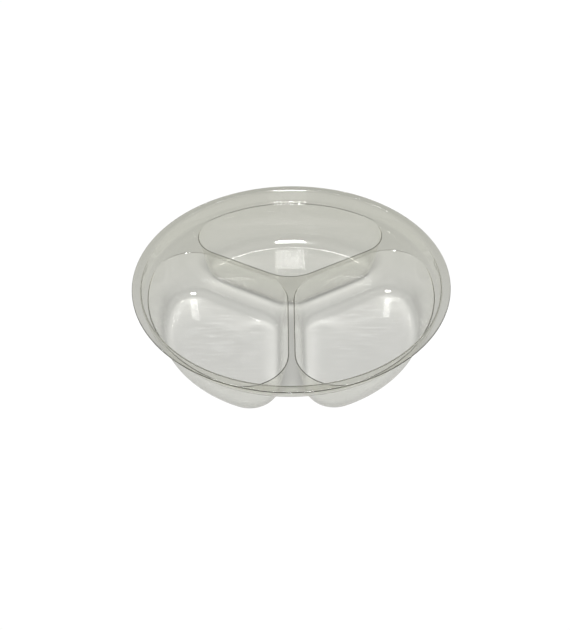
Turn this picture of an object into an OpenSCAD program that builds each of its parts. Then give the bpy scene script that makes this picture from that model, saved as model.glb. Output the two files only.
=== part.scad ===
// Clear dish with three deep wells, formed from one thin plastic sheet.
// The origin is at the centre of the plane that the well floors rest on, with +Z up
// and the first well towards +Y.

/* [Rim] */
// Outside diameter of the flange
rim_d = 179; // [160:1:220]
// Height from the resting plane to the top of the flange
overall_h = 38; // [34:0.5:46]
// Width of the flat flange, from its edge to the inside of the step wall
flange_w = 5; // [3:0.1:8]
// Drop from the top of the flange to the top of the ledge
step_h = 9; // [5:0.1:12]
// Width of the ledge between the step wall and the mouths of the wells
ledge_w = 2.5; // [1.6:0.1:5]
// Radius of the fold between the flange and the step wall
rim_fold_r = 1.6; // [0.8:0.1:2]
// Radius of the fold between the step wall and the ledge
foot_fold_r = 0.8; // [0.4:0.1:1.2]

/* [Sheet] */
// Thickness of the formed sheet
sheet_t = 0.5; // [0.3:0.05:0.7]

/* [Wells] */
// Width of the web between two wells, measured wall to wall at the top
web_w = 3.6; // [2.2:0.1:5]
// Plan radius of a well's corner nearest the centre, at the mouth
centre_corner_r = 24.4; // [20:0.1:28]
// Plan radius of a well's two corners at the outer wall, at the mouth
outer_corner_r = 21.4; // [19:0.1:24]
// Inward lean of the well walls, in degrees from vertical
draft = 11; // [3:0.1:14]
// Radius of the round between a web wall and the floor
web_floor_r = 7; // [4:0.1:13]
// Radius of the round between the outer wall and the floor
outer_floor_r = 10.6; // [6:0.1:15]
// Radius of the fold around the mouth of a well
mouth_fold_r = 0.8; // [0.3:0.1:0.9]

/* [Hidden] */

well_count = 3;
half_a = 180 / well_count;
first_well_a = 90;

rim_r = rim_d / 2;
step_r = rim_r - flange_w;
mouth_r = step_r - ledge_w;
ledge_z = overall_h - step_h;
floor_z = sheet_t;
cut_over = 1;

fold_n = 6;
mouth_fold_n = 3;
floor_round_n = 9;
corner_n = 10;
centre_n = 7;
outer_n = 20;

// Points of an arc about c, from angle a0 to a1, both ends included
function arc(c, r, a0, a1, n) = [
    for (i = [0 : n])
        let (a = a0 + (a1 - a0) * i / n)
        c + r * [cos(a), sin(a)]
];

// Section of the sheet from the axis out to the edge of the flange, as [radius, height]
function sheet_profile() =
    let (foot_c = [step_r - foot_fold_r, ledge_z + foot_fold_r])
    let (rim_c = [step_r + rim_fold_r, overall_h - rim_fold_r])
    concat(
        [[0, ledge_z]],
        arc(foot_c, foot_fold_r, -90, 0, fold_n),
        arc(rim_c, rim_fold_r, 180, 90, fold_n),
        [[rim_r, overall_h], [rim_r, overall_h - sheet_t]],
        arc(rim_c, rim_fold_r - sheet_t, 90, 180, fold_n),
        arc(foot_c, foot_fold_r + sheet_t, 0, -90, fold_n),
        [[0, ledge_z - sheet_t]]
    );

// Plan outline of a well whose axis runs along +X: a sector with three rounded corners.
// side_gap is the distance from a web's centre line to the well's wall.
function well_outline(side_gap, outer_r, centre_r, corner_r) =
    let (centre_c = [(side_gap + centre_r) / sin(half_a), 0])
    let (reach = outer_r - corner_r)
    let (lift = side_gap + corner_r)
    let (corner_a = half_a - asin(lift / reach))
    let (upper_c = reach * [cos(corner_a), sin(corner_a)])
    let (lower_c = [upper_c.x, -upper_c.y])
    let (outer_arc = arc([0, 0], outer_r, -corner_a, corner_a, outer_n))
    concat(
        arc(centre_c, centre_r, 90 + half_a, 270 - half_a, centre_n),
        arc(lower_c, corner_r, 270 - half_a, 360 - corner_a, corner_n),
        [for (i = [1 : outer_n - 1]) outer_arc[i]],
        arc(upper_c, corner_r, corner_a, 90 + half_a, corner_n)
    );

// How far a wall has moved in from its place at the mouth, at height z. The wall leans in
// by the draft, then follows the floor round. skin is 0 for the inside of the sheet and
// sheet_t for the outside.
function inset(z, floor_r, skin) =
    let (round_z = floor_z + floor_r)
    let (round_x = (ledge_z - round_z) * tan(draft) + floor_r / cos(draft))
    let (r = floor_r + skin)
    z > round_z - r * sin(draft)
        ? (ledge_z - z) * tan(draft) - skin / cos(draft)
        : round_x - sqrt(max(0, r * r - (round_z - z) * (round_z - z)));

// One level of a well, as [height, inset of the web walls, inset of the outer wall]
function level(z, skin) = [z, inset(z, web_floor_r, skin), inset(z, outer_floor_r, skin)];

// Levels down the floor round, from the end of the straight wall to the floor
function floor_levels(skin) =
    let (r = outer_floor_r + skin)
    [
        for (i = [0 : floor_round_n])
            let (a = draft + (90 - draft) * i / floor_round_n)
            level(floor_z + outer_floor_r - r * sin(a), skin)
    ];

// Levels of the fold at the mouth, from the top of the ledge to the straight wall
function mouth_levels() =
    let (base = level(ledge_z - mouth_fold_r, 0))
    [
        for (i = [mouth_fold_n : -1 : 0])
            let (a = 90 * i / mouth_fold_n)
            base + mouth_fold_r * [sin(a), cos(a) - 1, cos(a) - 1]
    ];

function ring_at(l) = [
    for (p = well_outline(
        web_w / 2 + l[1],
        mouth_r - l[2],
        centre_corner_r - l[1],
        outer_corner_r - l[2]
    )) [p.x, p.y, l[0]]
];

// Closed solid through a list of rings that have the same number of points, top ring first
module loft(rings) {
    n = len(rings[0]);
    m = len(rings);
    sides = [
        for (k = [0 : m - 2], i = [0 : n - 1])
            let (j = (i + 1) % n)
            for (t = [0, 1])
                t == 0
                    ? [k * n + i, k * n + j, (k + 1) * n + j]
                    : [k * n + i, (k + 1) * n + j, (k + 1) * n + i]
    ];
    top = [for (i = [n - 1 : -1 : 0]) i];
    bottom = [for (i = [0 : n - 1]) (m - 1) * n + i];
    polyhedron(
        points = [for (ring = rings) for (p = ring) p],
        faces = concat([top], sides, [bottom]),
        convexity = 4
    );
}

// The space inside one well, open upwards through the ledge
module well_space() {
    mouth = mouth_levels();
    above = mouth[0] + [cut_over, 0, 0];
    levels = concat([above], mouth, floor_levels(0));
    loft([for (l = levels) ring_at(l)]);
}

// One well with its sheet, reaching up into the ledge
module well_skin() {
    levels = concat([level(ledge_z - sheet_t / 2, sheet_t)], floor_levels(sheet_t));
    loft([for (l = levels) ring_at(l)]);
}

module at_each_well() {
    for (i = [0 : well_count - 1])
        rotate(first_well_a + i * 360 / well_count)
            children();
}

module three_well_dish() {
    color([0.80, 0.82, 0.80, 0.5])
        difference() {
            union() {
                rotate_extrude($fn = 180)
                    polygon(sheet_profile());
                at_each_well()
                    well_skin();
            }
            at_each_well()
                well_space();
        }
}

three_well_dish();
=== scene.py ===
"""Clear three-well dish: the visible sheet, its material, and the studio around it.

The dish is one formed sheet, so it is built as one smooth skin. A third of the skin is laid
out as rings of points around one well, out to the webs and the ledge, then on over the step
to the edge of the flange. Three turned copies make the top of the sheet, and the underside
follows it at the thickness that the sheet has at each point.

All lengths are in metres. Heights follow the CAD node: the dish rests on its well floors.
"""

import math

import bpy
import numpy as np
from mathutils import Matrix, Vector, noise


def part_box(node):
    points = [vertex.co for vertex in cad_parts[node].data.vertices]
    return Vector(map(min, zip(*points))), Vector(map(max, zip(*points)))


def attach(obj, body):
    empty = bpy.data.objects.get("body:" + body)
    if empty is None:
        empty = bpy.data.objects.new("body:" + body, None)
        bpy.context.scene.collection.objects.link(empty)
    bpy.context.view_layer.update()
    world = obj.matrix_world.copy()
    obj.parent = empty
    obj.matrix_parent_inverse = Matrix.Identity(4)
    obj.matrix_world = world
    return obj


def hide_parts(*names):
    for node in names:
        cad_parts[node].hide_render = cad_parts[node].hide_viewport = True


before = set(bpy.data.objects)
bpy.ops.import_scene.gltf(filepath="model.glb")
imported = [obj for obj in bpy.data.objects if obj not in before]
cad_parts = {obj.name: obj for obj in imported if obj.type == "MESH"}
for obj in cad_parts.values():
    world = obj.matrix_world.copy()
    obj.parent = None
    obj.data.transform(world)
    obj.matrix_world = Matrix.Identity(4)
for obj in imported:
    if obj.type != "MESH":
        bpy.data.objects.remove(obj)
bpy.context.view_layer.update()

MM = 0.001
NODE = "three_well_dish"

# The overall size comes from the CAD node. The sizes inside it are the design's own.
low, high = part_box(NODE)
RIM_R = (high.x - low.x) / 2
TOP_Z = high.z
REST_Z = low.z

WELLS = 3
FIRST_WELL = math.radians(90)
HALF = math.pi / WELLS

FLANGE_W = 5 * MM
STEP_H = 9 * MM
LEDGE_W = 2.5 * MM
RIM_FOLD = 1.6 * MM
FOOT_FOLD = 0.8 * MM
MOUTH_FOLD = 0.8 * MM
WEB_W = 3.6 * MM
CENTRE_CORNER = 24.4 * MM
OUTER_CORNER = 21.4 * MM
DRAFT = math.radians(11)
WEB_ROUND = 7 * MM
OUTER_ROUND = 10.6 * MM

# A formed sheet keeps its thickness where it stays flat and thins where it is drawn down.
FLAT_T = 0.5 * MM
DRAWN_T = 0.3 * MM

STEP_R = RIM_R - FLANGE_W
MOUTH_R = STEP_R - LEDGE_W
FOOT_R = STEP_R - FOOT_FOLD
LEDGE_Z = TOP_Z - STEP_H
FLOOR_Z = REST_Z + DRAWN_T

# How finely each stretch of the skin is divided
CENTRE_N = 24
CORNER_N = 32
SIDE_N = 28
OUTER_N = 64
FOLD_N = 8
ROUND_N = 32
WALL_N = 10
PLATE_N = 8
FLANGE_N = 6
FLOOR_SHARES = (0.985, 0.95, 0.9, 0.82, 0.72, 0.6, 0.46, 0.3, 0.14)
# A row of points this close to a fold keeps the flat plate's shading flat
SUPPORT = 0.15 * MM
# Points of neighbouring sectors that are this close together are one point
JOIN = 0.001 * MM

# Unevenness of the sheet: how wide each ripple is, and how deep
BROAD_RIPPLE = 24 * MM
BROAD_DEPTH = 0.06 * MM
FINE_RIPPLE = 7 * MM
FINE_DEPTH = 0.008 * MM

# The trimmed edge of the flange
EDGE_N = 4
EDGE_BULGE = 0.08 * MM

# Clear plastic: its tint at the surface, and about what a millimetre of it lets through
IOR = 1.57
SURFACE_TINT = (0.99, 0.99, 0.985)
PASSING_TINT = (0.95, 0.95, 0.91)
ABSORPTION = 1 / MM

# Roughness where the surface is clean and where it is scuffed, how fine the scuffs are along
# each axis, and the noise values between which a scuff sets in
GLOSS = 0.01
SCUFFED = 0.18
SCUFFS_PER_M = (60, 700, 200)
SCUFF_DETAIL = 3
SCUFF_START = 0.40
SCUFF_FULL = 0.75

# Camera: its distance and angles from the centre of the rim, and the point that it aims at
CAMERA_DISTANCE = 3.914 * RIM_R
CAMERA_ELEVATION = math.radians(39.36)
CAMERA_AZIMUTH = math.radians(-0.23)
CAMERA_ROLL = math.radians(-1.06)
AIM = Vector((-0.0372 * RIM_R, -0.4133 * RIM_R, TOP_Z))
LENS = 34.96
SENSOR = 36.0
CLIP_START = 0.01

# Floor: its level where the camera sees it directly, and its colours where it is seen through
# the sheet or mirrored in it, which fade from near to far between two places along Y. The grey
# seen through the sheet partly stands in for the dish's shadow on the floor: painted shade.
FLOOR_SIZE = 6.0
FLOOR_GAP = 0.3 * MM
FLOOR_LIT = 1.02
FLOOR_NEAR = (0.468, 0.468, 0.454)
FLOOR_FAR = (0.49, 0.49, 0.449)
FLOOR_NEAR_Y = -0.04
FLOOR_FAR_Y = 0.12

# Room: its level from the horizon up to the height SKY_START, and straight overhead
HORIZON_LEVEL = 0.10
ZENITH_LEVEL = 1.2
SKY_START = 0.4
# The rendered room's level, against the room that light_under_dish reckons with. At its full
# level the room's reflections would veil the sheet, but its soft light blurs the bands below.
RENDERED_ROOM = 0.051

# Lamps: a square softbox in front and above, and a thin strip behind and above
LAMP_DISTANCE = 0.9
KEY_SIZE = 0.25
KEY_ELEVATION = math.radians(66)
KEY_RADIANCE = 56.0
BACK_LENGTH = 0.45
BACK_WIDTH = 0.04
BACK_ELEVATION = math.radians(64)
BACK_RADIANCE = 16.0
KEY_WAY = Vector((0, -math.cos(KEY_ELEVATION), math.sin(KEY_ELEVATION)))
BACK_WAY = Vector((0, math.cos(BACK_ELEVATION), math.sin(BACK_ELEVATION)))

# How finely the light that the dish sends onto the floor is worked out
PATCH_R = 1.25 * RIM_R
PATCH_N = 226
KEY_RAYS = 7
SKY_RINGS = 10
SKY_RAYS = 20
SKY_R = 50.0
# Faces steeper than this, and mirrored light flatter than this, are left out
LEAST_RISE = 0.03
LEAST_FALL = 0.1
# Gain on the painted shadow bands under slopes: the shade painted on the floor, against the light
# that a slope mirrors away
PAINTED_SHADE_GAIN = 1.35

# Times that light may pass or bounce, enough for a path through several sheets
SHEET_BOUNCES = 24
GLOSSY_BOUNCES = 12


def arc(centre, radius, start, end, count):
    """Points of an arc, both ends included."""
    a = np.linspace(start, end, count + 1)
    return np.stack([centre[0] + radius * np.cos(a), centre[1] + radius * np.sin(a)], 1)


def between(p, q, count):
    """The points inside a straight stretch, without its ends."""
    share = np.linspace(0, 1, count + 1)[1:-1, None]
    return p + (q - p) * share


def well_outline(side_gap, outer_r, centre_r, corner_r):
    """Plan outline of a well whose axis runs along +X: a sector with three rounded corners."""
    centre = ((side_gap + centre_r) / math.sin(HALF), 0)
    reach = outer_r - corner_r
    corner_a = HALF - math.asin((side_gap + corner_r) / reach)
    upper = (reach * math.cos(corner_a), reach * math.sin(corner_a))
    lower = (upper[0], -upper[1])
    start, end = math.pi / 2 + HALF, 1.5 * math.pi - HALF
    nose = arc(centre, centre_r, start, end, CENTRE_N)
    low_corner = arc(lower, corner_r, end, 2 * math.pi - corner_a, CORNER_N)
    back = arc((0, 0), outer_r, -corner_a, corner_a, OUTER_N)[1:-1]
    high_corner = arc(upper, corner_r, corner_a, start, CORNER_N)
    low_side = between(nose[-1], low_corner[0], SIDE_N)
    high_side = between(high_corner[-1], nose[0], SIDE_N)
    return np.concatenate([nose, low_side, low_corner, back, high_corner, high_side])


def inset(z, round_r):
    """How far a well's wall has moved in at height z: it leans by the draft, then rounds."""
    round_z = FLOOR_Z + round_r
    if z > round_z - round_r * math.sin(DRAFT):
        return (LEDGE_Z - z) * math.tan(DRAFT)
    round_x = (LEDGE_Z - round_z) * math.tan(DRAFT) + round_r / math.cos(DRAFT)
    return round_x - math.sqrt(max(0.0, round_r**2 - (round_z - z) ** 2))


def well_levels():
    """Each level down a well as (height, inset of the web walls, inset of the outer wall)."""
    base = LEDGE_Z - MOUTH_FOLD
    web_in, outer_in = inset(base, WEB_ROUND), inset(base, OUTER_ROUND)
    levels = []
    for a in np.linspace(math.pi / 2, 0, FOLD_N + 1):
        back = MOUTH_FOLD * (math.cos(a) - 1)
        levels.append((base + MOUTH_FOLD * math.sin(a), web_in + back, outer_in + back))
    round_top = FLOOR_Z + OUTER_ROUND * (1 - math.sin(DRAFT))
    heights = list(np.linspace(base, round_top, WALL_N + 1)[1:-1])
    for a in np.linspace(DRAFT, math.pi / 2, ROUND_N + 1):
        heights.append(FLOOR_Z + OUTER_ROUND * (1 - math.sin(a)))
    for z in heights:
        levels.append((z, inset(z, WEB_ROUND), inset(z, OUTER_ROUND)))
    return levels


def at_height(outline, z):
    return np.column_stack([outline, np.full(len(outline), z)])


def sector_edge(mouth):
    """Where the flat plate around a mouth ends, for each point of the mouth's outline.

    The points of the nose, the sides and the near half of each corner go to the centre line
    of a web. The far half of each corner and the back go to the foot of the step.
    """
    count = len(mouth)
    edge = np.zeros((count, 2))
    web = np.array([math.cos(HALF), math.sin(HALF)])
    mirror = np.array([1, -1])
    side_end = CENTRE_N + SIDE_N
    junction = side_end + CORNER_N // 2
    corner_end = side_end + CORNER_N
    first_along = float(mouth[CENTRE_N] @ (web * mirror))
    last_along = float(mouth[side_end] @ (web * mirror))
    corner_a = math.atan2(-mouth[corner_end][1], mouth[corner_end][0])
    for i in range(CENTRE_N // 2, corner_end + OUTER_N // 2 + 1):
        if i <= CENTRE_N:
            along = first_along * (i - CENTRE_N / 2) / (CENTRE_N / 2)
            edge[i] = web * mirror * along
        elif i <= side_end:
            edge[i] = web * mirror * float(mouth[i] @ (web * mirror))
        elif i <= junction:
            share = (i - side_end) / (junction - side_end)
            edge[i] = web * mirror * (last_along + (FOOT_R - last_along) * share)
        elif i <= corner_end:
            share = (i - junction) / (corner_end - junction)
            a = HALF + (corner_a - HALF) * share
            edge[i] = FOOT_R * np.array([math.cos(a), -math.sin(a)])
        else:
            a = math.atan2(mouth[i][1], mouth[i][0])
            edge[i] = FOOT_R * np.array([math.cos(a), math.sin(a)])
        edge[(CENTRE_N - i) % count] = edge[i] * mirror
    return edge, junction


def rim_profile():
    """Section of the sheet's top from the foot of the step to the flange's edge."""
    foot = (FOOT_R, LEDGE_Z + FOOT_FOLD)
    rim = (STEP_R + RIM_FOLD, TOP_Z - RIM_FOLD)
    wall = ((STEP_R, foot[1]), (STEP_R, rim[1]))
    flange = np.linspace(rim[0], RIM_R - EDGE_BULGE, FLANGE_N + 1)[1:]
    return np.concatenate([
        arc(foot, FOOT_FOLD, -math.pi / 2, 0, FOLD_N)[1:],
        between(np.array(wall[0]), np.array(wall[1]), WALL_N),
        arc(rim, RIM_FOLD, math.pi, math.pi / 2, FOLD_N),
        np.column_stack([flange, np.full(FLANGE_N, TOP_Z)]),
    ])


def strip(first, second, closed):
    """Quads between two rows of point numbers, facing up when first is the outer row."""
    count = len(first)
    last = count if closed else count - 1
    faces = []
    for i in range(last):
        j = (i + 1) % count
        faces.append((first[i], first[j], second[j], second[i]))
    return faces


def sector_rings():
    """Rings of points around one well along +X, from the plate's edge in to the well's floor.

    With the rings come the middle of the floor, the plate's edge, and the number of the
    point on it where a web's centre line meets the foot of the step.
    """
    well = []
    for z, web_in, outer_in in well_levels():
        outline = well_outline(
            WEB_W / 2 + web_in,
            MOUTH_R - outer_in,
            CENTRE_CORNER - web_in,
            OUTER_CORNER - outer_in,
        )
        well.append(at_height(outline, z))
    mouth = well[0][:, :2]
    edge, junction = sector_edge(mouth)
    span = np.linalg.norm(edge - mouth, axis=1)[:, None]
    near = np.minimum(SUPPORT / span, 0.5 / PLATE_N)
    plate = []
    for k in range(PLATE_N, -1, -1):
        share = k / PLATE_N if k else near
        plate.append(at_height(mouth + (edge - mouth) * share, LEDGE_Z))
    middle = well[-1].mean(0)
    floor = [middle + (well[-1] - middle) * share for share in FLOOR_SHARES]
    return plate + well + floor, middle, edge, junction


def sector():
    """One third of the sheet's top skin as (points, faces), with the well along +X."""
    rings, middle, edge, junction = sector_rings()
    count = len(edge)
    points = [p for ring in rings for p in ring] + [middle]
    faces = []
    for k in range(len(rings) - 1):
        outer = [k * count + i for i in range(count)]
        faces += strip(outer, [i + count for i in outer], True)
    last = (len(rings) - 1) * count
    for i in range(count):
        faces.append((last + i, last + (i + 1) % count, len(points) - 1))
    far_end = CENTRE_N - junction + count
    row = list(range(junction, far_end + 1))
    angles = [math.atan2(edge[i][1], edge[i][0]) for i in row]
    for radius, z in rim_profile():
        start = len(points)
        points += [np.array([radius * math.cos(a), radius * math.sin(a), z]) for a in angles]
        next_row = list(range(start, start + len(angles)))
        faces += strip(next_row, row, False)
        row = next_row
    return np.array(points), faces


def whole_top():
    """The three turned sectors, joined where their edges meet."""
    points, faces = sector()
    number_at, joined_points, joined_faces = {}, [], []
    for k in range(WELLS):
        a = FIRST_WELL + 2 * HALF * k
        turn = np.array([
            [math.cos(a), -math.sin(a), 0],
            [math.sin(a), math.cos(a), 0],
            [0, 0, 1],
        ])
        numbers = []
        for p in points @ turn.T:
            key = tuple(int(round(c / JOIN)) for c in p)
            if key not in number_at:
                number_at[key] = len(joined_points)
                joined_points.append(p)
            numbers.append(number_at[key])
        for face in faces:
            corners = list(dict.fromkeys(numbers[i] for i in face))
            if len(corners) > 2:
                joined_faces.append(tuple(corners))
    return np.array(joined_points), joined_faces


def thickness(z):
    """The sheet's thickness at a height: full in the flat parts, thinner down the wells."""
    drawn = min(1.0, max(0.0, (LEDGE_Z - z) / (LEDGE_Z - FLOOR_Z)))
    return FLAT_T + (DRAWN_T - FLAT_T) * (1 - (1 - drawn) ** 2)


def ripple(p):
    """Slight unevenness of a formed sheet, in metres along its normal."""
    broad = noise.noise(Vector(p) / BROAD_RIPPLE)
    fine = noise.noise(Vector(p) / FINE_RIPPLE)
    return BROAD_DEPTH * broad + FINE_DEPTH * fine


def normals_of(points, faces):
    """Area-weighted normal at each point."""
    total = np.zeros_like(points)
    for size in (3, 4):
        f = np.array([face for face in faces if len(face) == size])
        across = points[f[:, 2]] - points[f[:, 0]]
        other = points[f[:, -1]] - points[f[:, 1]]
        normal = np.cross(across, other)
        for k in range(size):
            np.add.at(total, f[:, k], normal)
    return total / np.linalg.norm(total, axis=1)[:, None]


def open_edge(points, faces):
    """The points of the flange's edge, in order round the rim."""
    sides = set()
    for f in faces:
        for i, a in enumerate(f):
            sides.add((a, f[(i + 1) % len(f)]))
    edge = {a for a, b in sides if (b, a) not in sides}
    return sorted(edge, key=lambda i: math.atan2(points[i][1], points[i][0]))


def sheet_mesh():
    """The closed sheet: top skin, underside and the trimmed edge between them."""
    top, faces = whole_top()
    normals = normals_of(top, faces)
    top = top + normals * np.array([ripple(p) for p in top])[:, None]
    normals = normals_of(top, faces)
    depth = np.array([thickness(p[2]) for p in top])[:, None]
    under = top - normals * depth
    count = len(top)
    points = [top, under]
    all_faces = list(faces)
    all_faces += [tuple(i + count for i in reversed(f)) for f in faces]
    loop = open_edge(top, faces)
    middle = (top[loop] + under[loop]) / 2
    half = (top[loop] - under[loop]) / 2
    out = middle * np.array([1, 1, 0])
    out /= np.linalg.norm(out, axis=1)[:, None]
    rows = [loop]
    start = 2 * count
    for k in range(1, EDGE_N):
        a = math.pi * k / EDGE_N
        points.append(middle + half * math.cos(a) + out * EDGE_BULGE * math.sin(a))
        rows.append(list(range(start, start + len(loop))))
        start += len(loop)
    rows.append([i + count for i in loop])
    for upper, lower in zip(rows, rows[1:]):
        all_faces += strip(lower, upper, True)
    return np.concatenate(points), all_faces


def add_dish():
    points, faces = sheet_mesh()
    mesh = bpy.data.meshes.new("formed_dish")
    mesh.from_pydata([tuple(p) for p in points], [], faces)
    mesh.validate()
    mesh.shade_smooth()
    dish = bpy.data.objects.new("formed_dish", mesh)
    bpy.context.scene.collection.objects.link(dish)
    # The dish's shade and light on the floor under it are painted into the floor's colour from
    # light_under_dish
    dish.visible_shadow = False
    dish.visible_diffuse = False
    return dish


def new_material(name):
    material = bpy.data.materials.new(name)
    material.use_nodes = True
    material.node_tree.nodes.clear()
    return material, material.node_tree.nodes, material.node_tree.links


def map_range(nodes, source, target, shape="LINEAR"):
    """A node that maps the values between one pair to the values between another."""
    node = nodes.new("ShaderNodeMapRange")
    node.interpolation_type = shape
    node.inputs["From Min"].default_value = source[0]
    node.inputs["From Max"].default_value = source[1]
    node.inputs["To Min"].default_value = target[0]
    node.inputs["To Max"].default_value = target[1]
    return node


def scuffed_roughness(nodes, links):
    """Roughness of the sheet: glossy at the rim, with fine scuffs that grow down the wells."""
    place = nodes.new("ShaderNodeTexCoord")
    stretch = nodes.new("ShaderNodeMapping")
    stretch.inputs["Scale"].default_value = SCUFFS_PER_M
    haze = nodes.new("ShaderNodeTexNoise")
    haze.inputs["Scale"].default_value = 1.0
    haze.inputs["Detail"].default_value = SCUFF_DETAIL
    spread = map_range(nodes, (SCUFF_START, SCUFF_FULL), (0, 1))
    split = nodes.new("ShaderNodeSeparateXYZ")
    depth = map_range(nodes, (LEDGE_Z, REST_Z), (0, 1))
    both = nodes.new("ShaderNodeMath")
    both.operation = "MULTIPLY"
    rough = map_range(nodes, (0, 1), (GLOSS, SCUFFED))
    links.new(place.outputs["Object"], stretch.inputs["Vector"])
    links.new(stretch.outputs["Vector"], haze.inputs["Vector"])
    links.new(haze.outputs["Fac"], spread.inputs["Value"])
    links.new(place.outputs["Object"], split.inputs["Vector"])
    links.new(split.outputs["Z"], depth.inputs["Value"])
    links.new(spread.outputs["Result"], both.inputs[0])
    links.new(depth.outputs["Result"], both.inputs[1])
    links.new(both.outputs["Value"], rough.inputs["Value"])
    return rough.outputs["Result"]


def clear_plastic():
    """Clear gloss plastic: it tints the light by how far it goes through the sheet."""
    material, nodes, links = new_material("clear_plastic")
    output = nodes.new("ShaderNodeOutputMaterial")
    surface = nodes.new("ShaderNodeBsdfPrincipled")
    surface.inputs["Base Color"].default_value = (*SURFACE_TINT, 1)
    surface.inputs["Transmission Weight"].default_value = 1.0
    surface.inputs["IOR"].default_value = IOR
    inside = nodes.new("ShaderNodeVolumeAbsorption")
    inside.inputs["Color"].default_value = (*PASSING_TINT, 1)
    inside.inputs["Density"].default_value = ABSORPTION
    links.new(scuffed_roughness(nodes, links), surface.inputs["Roughness"])
    links.new(inside.outputs["Volume"], output.inputs["Volume"])
    links.new(surface.outputs["BSDF"], output.inputs["Surface"])
    return material


def mirrored_share(cosine):
    """Share of light that a thin clear sheet mirrors, by the cosine of the angle to its normal."""
    inside = np.sqrt(1 - (1 - cosine**2) / IOR**2)
    across = ((cosine - IOR * inside) / (cosine + IOR * inside)) ** 2
    along = ((IOR * cosine - inside) / (IOR * cosine + inside)) ** 2
    one_side = (across + along) / 2
    return 2 * one_side / (1 + one_side)


def room_level(z):
    """Full level of the room in the direction that rises by z, on the curve of add_world."""
    blend = min(1.0, max(0.0, (z - SKY_START) / (1 - SKY_START)))
    return HORIZON_LEVEL + (ZENITH_LEVEL - HORIZON_LEVEL) * blend**2 * (3 - 2 * blend)


def light_points():
    """Points that light comes from, each with its radiance times its solid angle.

    They stand for the softbox and the room. The back strip gives less than a tenth of the
    softbox's light, so it is left out.
    """
    found = []
    side = Vector((1, 0, 0))
    up = KEY_WAY.cross(side)
    share = KEY_RADIANCE * (KEY_SIZE / LAMP_DISTANCE) ** 2 / KEY_RAYS**2
    steps = (np.arange(KEY_RAYS) + 0.5) / KEY_RAYS - 0.5
    for u in steps:
        for v in steps:
            found.append((KEY_WAY * LAMP_DISTANCE + (side * u + up * v) * KEY_SIZE, share))
    for i in range(SKY_RINGS):
        z = (i + 0.5) / SKY_RINGS
        flat = math.sqrt(1 - z * z)
        share = room_level(z) * 2 * math.pi / (SKY_RINGS * SKY_RAYS)
        for j in range(SKY_RAYS):
            a = 2 * math.pi * (j + 0.5 * (i % 2)) / SKY_RAYS
            found.append((Vector((flat * math.cos(a), flat * math.sin(a), z)) * SKY_R, share))
    return found


def light_under_dish(mesh, floor_z):
    """How bright the floor is under the dish, on a grid, against the open floor: painted shade and
    painted light that multiply the floor's colour.

    Each sloping face takes a share out of the light that passes it, and sends the part that
    it mirrors down at another angle, so a wall leaves a dark band with a bright one beside it.
    """
    count = len(mesh.polygons)
    centres, normals, areas = np.zeros(count * 3), np.zeros(count * 3), np.zeros(count)
    mesh.polygons.foreach_get("center", centres)
    mesh.polygons.foreach_get("normal", normals)
    mesh.polygons.foreach_get("area", areas)
    centres, normals = centres.reshape(-1, 3), normals.reshape(-1, 3)
    top = normals[:, 2] > LEAST_RISE
    centres, normals, areas = centres[top], normals[top], areas[top]
    cell = 2 * PATCH_R / (PATCH_N - 1)
    total = np.zeros(PATCH_N * PATCH_N)

    def spread(start, ways, power):
        travel = (floor_z - start[:, 2]) / ways[:, 2]
        spot = (start[:, :2] + ways[:, :2] * travel[:, None] + PATCH_R) / cell
        base = np.floor(spot).astype(int)
        part = spot - base
        for dx in (0, 1):
            for dy in (0, 1):
                column, row = base[:, 0] + dx, base[:, 1] + dy
                near = (column >= 0) & (column < PATCH_N) & (row >= 0) & (row < PATCH_N)
                weight = power * np.abs(1 - dx - part[:, 0]) * np.abs(1 - dy - part[:, 1])
                number = row[near] * PATCH_N + column[near]
                total[:] += np.bincount(number, weight[near], PATCH_N * PATCH_N)

    open_light = 0
    for point, strength in light_points():
        open_light += strength * point.normalized().z
        ways = centres - np.array(point)
        ways /= np.linalg.norm(ways, axis=1)[:, None]
        facing = (ways * normals).sum(1)
        cosine = np.abs(facing)
        power = strength * areas * cosine
        share = mirrored_share(cosine)
        # Painted shadow: a level sheet mirrors some light too, so only the difference shows
        spread(centres, ways, -PAINTED_SHADE_GAIN * power * (share - mirrored_share(-ways[:, 2])))
        # Painted light: what a slope mirrors down is added to the floor's colour where it lands
        bounced = ways - 2 * facing[:, None] * normals
        lands = bounced[:, 2] < -LEAST_FALL
        passed = 1 - mirrored_share(-bounced[lands, 2])
        spread(centres[lands], bounced[lands], power[lands] * share[lands] * passed)
    return 1 + total / cell**2 / open_light


def floor_mesh(z, dish_mesh):
    """The floor: a fine patch under the dish, and four wide pieces around it."""
    line = np.linspace(-PATCH_R, PATCH_R, PATCH_N)
    points = [(x, y, z) for y in line for x in line]
    faces = []
    for j in range(PATCH_N - 1):
        for i in range(PATCH_N - 1):
            a = j * PATCH_N + i
            faces.append((a, a + 1, a + 1 + PATCH_N, a + PATCH_N))
    half = FLOOR_SIZE / 2
    inner = (0, PATCH_N - 1, PATCH_N**2 - 1, PATCH_N**2 - PATCH_N)
    outer = [len(points) + k for k in range(4)]
    points += [(-half, -half, z), (half, -half, z), (half, half, z), (-half, half, z)]
    for k in range(4):
        m = (k + 1) % 4
        faces.append((outer[k], outer[m], inner[m], inner[k]))
    mesh = bpy.data.meshes.new("studio_floor")
    mesh.from_pydata(points, [], faces)
    level = np.concatenate([light_under_dish(dish_mesh, z), np.ones(4)])
    layer = mesh.attributes.new("light_level", "FLOAT", "POINT")
    layer.data.foreach_set("value", level)
    return mesh


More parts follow.
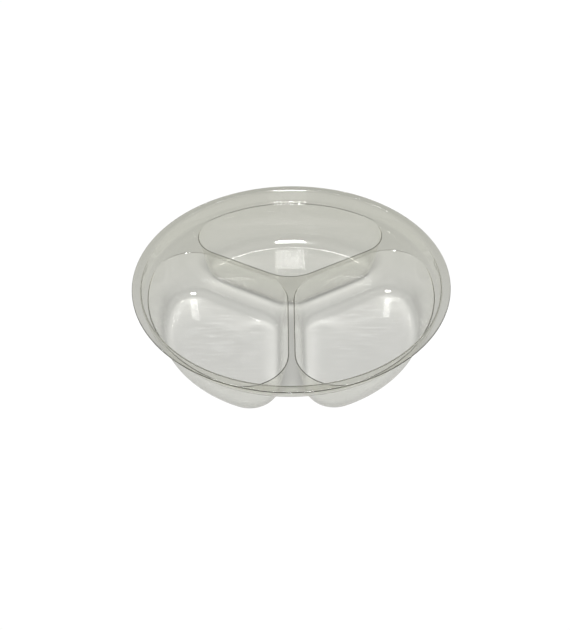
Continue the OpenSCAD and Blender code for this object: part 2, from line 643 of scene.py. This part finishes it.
def add_floor(dish_mesh):
    """A plain pale floor, evenly lit where it is seen directly, and pale grey elsewhere, with
    painted shade and painted light under the dish.
    """
    material, nodes, links = new_material("pale_floor")
    output = nodes.new("ShaderNodeOutputMaterial")
    place = nodes.new("ShaderNodeTexCoord")
    split = nodes.new("ShaderNodeSeparateXYZ")
    share = map_range(nodes, (FLOOR_NEAR_Y, FLOOR_FAR_Y), (0, 1), "SMOOTHSTEP")
    fade = nodes.new("ShaderNodeMix")
    fade.data_type = "RGBA"
    fade.inputs["A"].default_value = (*FLOOR_NEAR, 1)
    fade.inputs["B"].default_value = (*FLOOR_FAR, 1)
    # Painted shadow and painted light under the dish: light_level multiplies the floor's colour
    level = nodes.new("ShaderNodeAttribute")
    level.attribute_name = "light_level"
    painted_light_and_shade = nodes.new("ShaderNodeVectorMath")
    painted_light_and_shade.operation = "MULTIPLY"
    plain = nodes.new("ShaderNodeBsdfDiffuse")
    links.new(place.outputs["Object"], split.inputs["Vector"])
    links.new(split.outputs["Y"], share.inputs["Value"])
    links.new(share.outputs["Result"], fade.inputs["Factor"])
    links.new(fade.outputs["Result"], painted_light_and_shade.inputs[0])
    links.new(level.outputs["Fac"], painted_light_and_shade.inputs[1])
    links.new(painted_light_and_shade.outputs["Vector"], plain.inputs["Color"])
    lit = nodes.new("ShaderNodeEmission")
    lit.inputs["Strength"].default_value = FLOOR_LIT
    path = nodes.new("ShaderNodeLightPath")
    either = nodes.new("ShaderNodeMixShader")
    links.new(path.outputs["Is Camera Ray"], either.inputs["Fac"])
    links.new(plain.outputs["BSDF"], either.inputs[1])
    links.new(lit.outputs["Emission"], either.inputs[2])
    links.new(either.outputs["Shader"], output.inputs["Surface"])
    material.cycles.emission_sampling = "NONE"
    mesh = floor_mesh(REST_Z - FLOOR_GAP, dish_mesh)
    mesh.materials.append(material)
    floor = bpy.data.objects.new("studio_floor", mesh)
    bpy.context.scene.collection.objects.link(floor)


def add_world():
    """A soft room, dim at the horizon and brighter overhead, behind a plain pale backdrop."""
    world = bpy.data.worlds.new("studio")
    world.use_nodes = True
    nodes, links = world.node_tree.nodes, world.node_tree.links
    background = nodes["Background"]
    place = nodes.new("ShaderNodeTexCoord")
    split = nodes.new("ShaderNodeSeparateXYZ")
    rendered = (HORIZON_LEVEL * RENDERED_ROOM, ZENITH_LEVEL * RENDERED_ROOM)
    level = map_range(nodes, (SKY_START, 1), rendered, "SMOOTHSTEP")
    path = nodes.new("ShaderNodeLightPath")
    seen = nodes.new("ShaderNodeMix")
    seen.inputs["B"].default_value = FLOOR_LIT
    links.new(place.outputs["Generated"], split.inputs["Vector"])
    links.new(split.outputs["Z"], level.inputs["Value"])
    links.new(path.outputs["Is Camera Ray"], seen.inputs["Factor"])
    links.new(level.outputs["Result"], seen.inputs["A"])
    links.new(seen.outputs["Result"], background.inputs["Strength"])
    background.inputs["Color"].default_value = (1, 1, 1, 1)
    bpy.context.scene.world = world


def add_lamp(name, towards, length, width, radiance):
    """A flat lamp that faces the dish's centre from one direction."""
    light = bpy.data.lights.new(name, "AREA")
    light.shape = "RECTANGLE"
    light.size = length
    light.size_y = width
    light.energy = radiance * math.pi * length * width
    lamp = bpy.data.objects.new(name, light)
    lamp.location = towards * LAMP_DISTANCE
    lamp.rotation_euler = towards.to_track_quat("Z", "Y").to_euler()
    bpy.context.scene.collection.objects.link(lamp)


def add_camera():
    data = bpy.data.cameras.new("camera")
    data.lens = LENS
    data.sensor_width = SENSOR
    data.clip_start = CLIP_START
    camera = bpy.data.objects.new("camera", data)
    bpy.context.scene.collection.objects.link(camera)
    back = Vector((
        math.sin(CAMERA_AZIMUTH) * math.cos(CAMERA_ELEVATION),
        -math.cos(CAMERA_AZIMUTH) * math.cos(CAMERA_ELEVATION),
        math.sin(CAMERA_ELEVATION),
    ))
    camera.location = Vector((0, 0, TOP_Z)) + back * CAMERA_DISTANCE
    look = (AIM - camera.location).to_track_quat("-Z", "Y").to_matrix()
    camera.rotation_euler = (look @ Matrix.Rotation(CAMERA_ROLL, 3, "Z")).to_euler()
    bpy.context.scene.camera = camera


def set_light_paths():
    scene = bpy.context.scene
    scene.cycles.max_bounces = SHEET_BOUNCES
    scene.cycles.transmission_bounces = SHEET_BOUNCES
    scene.cycles.glossy_bounces = GLOSSY_BOUNCES
    scene.view_settings.view_transform = "Standard"


dish = add_dish()
dish.data.materials.append(clear_plastic())
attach(dish, "root")
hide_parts(NODE)

add_floor(dish.data)
add_world()
add_lamp("softbox", KEY_WAY, KEY_SIZE, KEY_SIZE, KEY_RADIANCE)
add_lamp("back_strip", BACK_WAY, BACK_LENGTH, BACK_WIDTH, BACK_RADIANCE)
add_camera()
set_light_paths()
